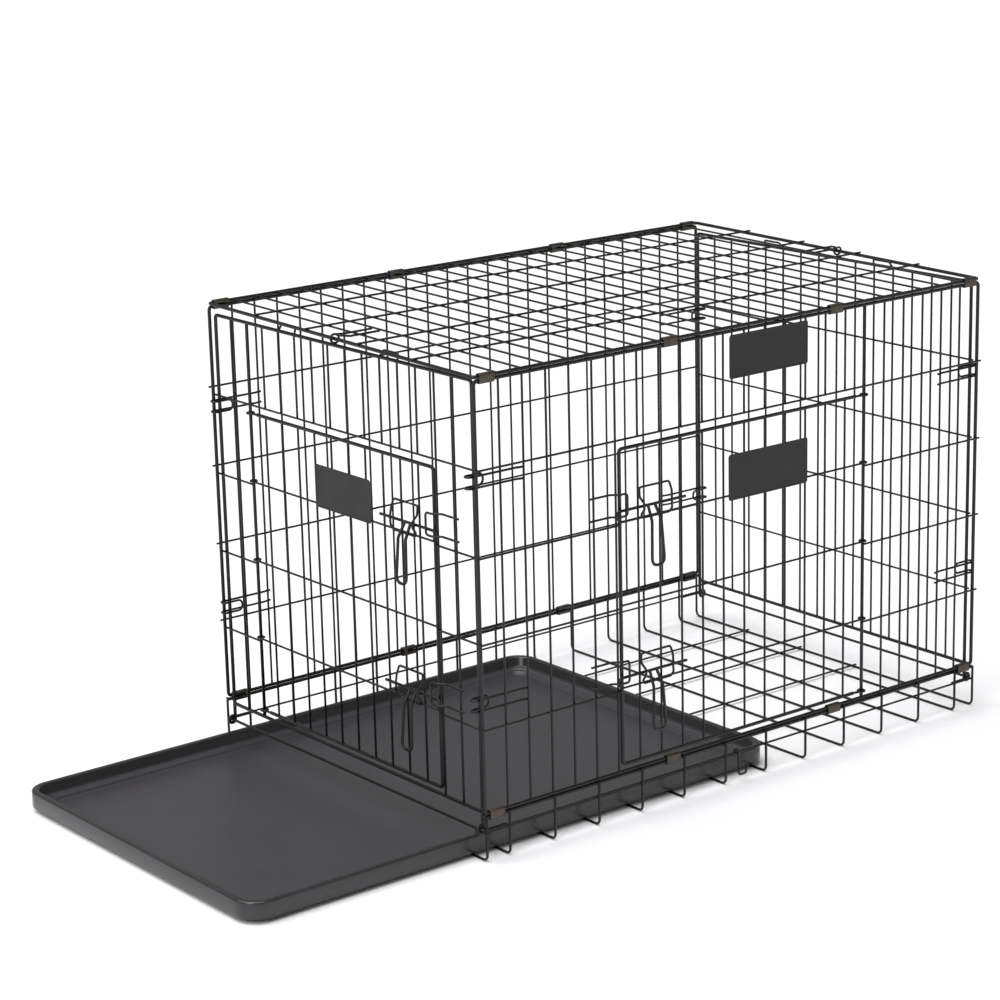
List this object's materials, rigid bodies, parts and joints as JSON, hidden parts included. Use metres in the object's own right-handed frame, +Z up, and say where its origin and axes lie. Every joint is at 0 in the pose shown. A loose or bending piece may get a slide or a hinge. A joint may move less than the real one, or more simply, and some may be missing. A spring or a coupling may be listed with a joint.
{
  "type": "wire dog crate",
  "caption": "Rectangular black wire crate with hinged end and side doors, slide bolts, folding end panels and a plastic tray slid part way out of one end.",
  "frame": {"origin": "on the floor, under the middle of the box round the crate with its tray out", "axes": "+Z up, +X along the long side away from the end that has the door and the tray, +Y from the side with the door to the back"},
  "size_m": [1.2738, 0.6238, 0.6544],
  "materials": {
    "wire_coat": "satin black powder coat on round steel wire",
    "clip_steel": "dull galvanised sheet steel",
    "plate": "flat black, blank",
    "tray": "fine pebble texture"
  },
  "bodies": {
    "crate": {"base_floor": "wire_coat", "base_front_side": "wire_coat", "base_back_side": "wire_coat", "left_pivot_wire": "wire_coat", "right_pivot_wire": "wire_coat", "front_panel_left": "wire_coat", "front_panel_right": "wire_coat", "front_panel_head": "wire_coat", "front_panel_sill": "wire_coat", "back_panel": "wire_coat", "top_panel": "wire_coat", "front_panel_plate": "plate", "side_door_lower_keeper": "wire_coat", "side_door_upper_keeper": "wire_coat", "storage_hook": "wire_coat", "front_bottom_clip_1": "clip_steel", "front_bottom_clip_2": "clip_steel", "front_bottom_clip_3": "clip_steel", "front_bottom_clip_4": "clip_steel", "front_top_clip_1": "clip_steel", "front_top_clip_2": "clip_steel", "front_top_clip_3": "clip_steel", "front_top_clip_4": "clip_steel", "back_bottom_clip_1": "clip_steel", "back_bottom_clip_2": "clip_steel", "back_bottom_clip_3": "clip_steel", "back_bottom_clip_4": "clip_steel", "back_top_clip_1": "clip_steel", "back_top_clip_2": "clip_steel", "back_top_clip_3": "clip_steel", "back_top_clip_4": "clip_steel", "left_front_lower_hook": "wire_coat", "left_front_upper_hook": "wire_coat", "left_back_lower_hook": "wire_coat", "left_back_upper_hook": "wire_coat", "right_front_lower_hook": "wire_coat", "right_front_upper_hook": "wire_coat", "right_back_lower_hook": "wire_coat", "right_back_upper_hook": "wire_coat"},
    "left_end": {"left_end_panel": "wire_coat", "left_end_foot": "wire_coat", "end_door_lower_keeper": "wire_coat", "end_door_upper_keeper": "wire_coat"},
    "right_end": {"right_end_panel": "wire_coat", "right_end_foot": "wire_coat"},
    "end_door": {"end_door": "wire_coat", "end_door_lower_guide": "wire_coat", "end_door_upper_guide": "wire_coat", "end_door_plate": "plate"},
    "side_door": {"side_door": "wire_coat", "side_door_lower_guide": "wire_coat", "side_door_upper_guide": "wire_coat", "side_door_plate": "plate"},
    "side_door_lower_bolt": {"side_door_lower_bolt": "wire_coat"},
    "side_door_upper_bolt": {"side_door_upper_bolt": "wire_coat"},
    "end_door_lower_bolt": {"end_door_lower_bolt": "wire_coat"},
    "end_door_upper_bolt": {"end_door_upper_bolt": "wire_coat"},
    "tray": {"tray": "tray"},
    "left_fold_hook": {"left_fold_hook": "wire_coat"},
    "right_fold_hook": {"right_fold_hook": "wire_coat"}
  },
  "joints": [
    {"name": "left_panel_fold", "type": "hinge", "parent": "crate", "child": "left_end", "pos_m": [-0.28553, 0.00867, 0.042], "axis": [0, -1, 0], "range_deg": [-90, 0]},
    {"name": "right_panel_fold", "type": "hinge", "parent": "crate", "child": "right_end", "pos_m": [0.62867, 0.00867, 0.042], "axis": [0, 1, 0], "range_deg": [-84, 0]},
    {"name": "end_door_hinge", "type": "hinge", "parent": "left_end", "child": "end_door", "pos_m": [-0.28023, 0.2206, 0.25], "axis": [0, 0, -1], "range_deg": [0, 155]},
    {"name": "side_door_hinge", "type": "hinge", "parent": "crate", "child": "side_door", "pos_m": [0.39957, -0.28913, 0.25], "axis": [0, 0, 1], "range_deg": [0, 155]},
    {"name": "side_lower_bolt_slide", "type": "slide", "parent": "side_door", "child": "side_door_lower_bolt", "axis": [1, 0, 0], "range_m": [0, 0.02]},
    {"name": "side_upper_bolt_slide", "type": "slide", "parent": "side_door", "child": "side_door_upper_bolt", "axis": [1, 0, 0], "range_m": [0, 0.02]},
    {"name": "end_lower_bolt_slide", "type": "slide", "parent": "end_door", "child": "end_door_lower_bolt", "axis": [0, 1, 0], "range_m": [0, 0.02]},
    {"name": "end_upper_bolt_slide", "type": "slide", "parent": "end_door", "child": "end_door_upper_bolt", "axis": [0, 1, 0], "range_m": [0, 0.02]},
    {"name": "tray_slide", "type": "slide", "parent": "crate", "child": "tray", "axis": [-1, 0, 0], "range_m": [-0.37, 0.45]},
    {"name": "left_fold_hook_swing", "type": "hinge", "parent": "crate", "child": "left_fold_hook", "pos_m": [-0.28443, -0.00137, 0.64523], "axis": [0, -0.9999, -0.0168], "range_deg": [0, 100]},
    {"name": "right_fold_hook_swing", "type": "hinge", "parent": "crate", "child": "right_fold_hook", "pos_m": [0.62757, -0.00137, 0.64523], "axis": [0, 0.9999, 0.0168], "range_deg": [0, 100]}
  ]
}
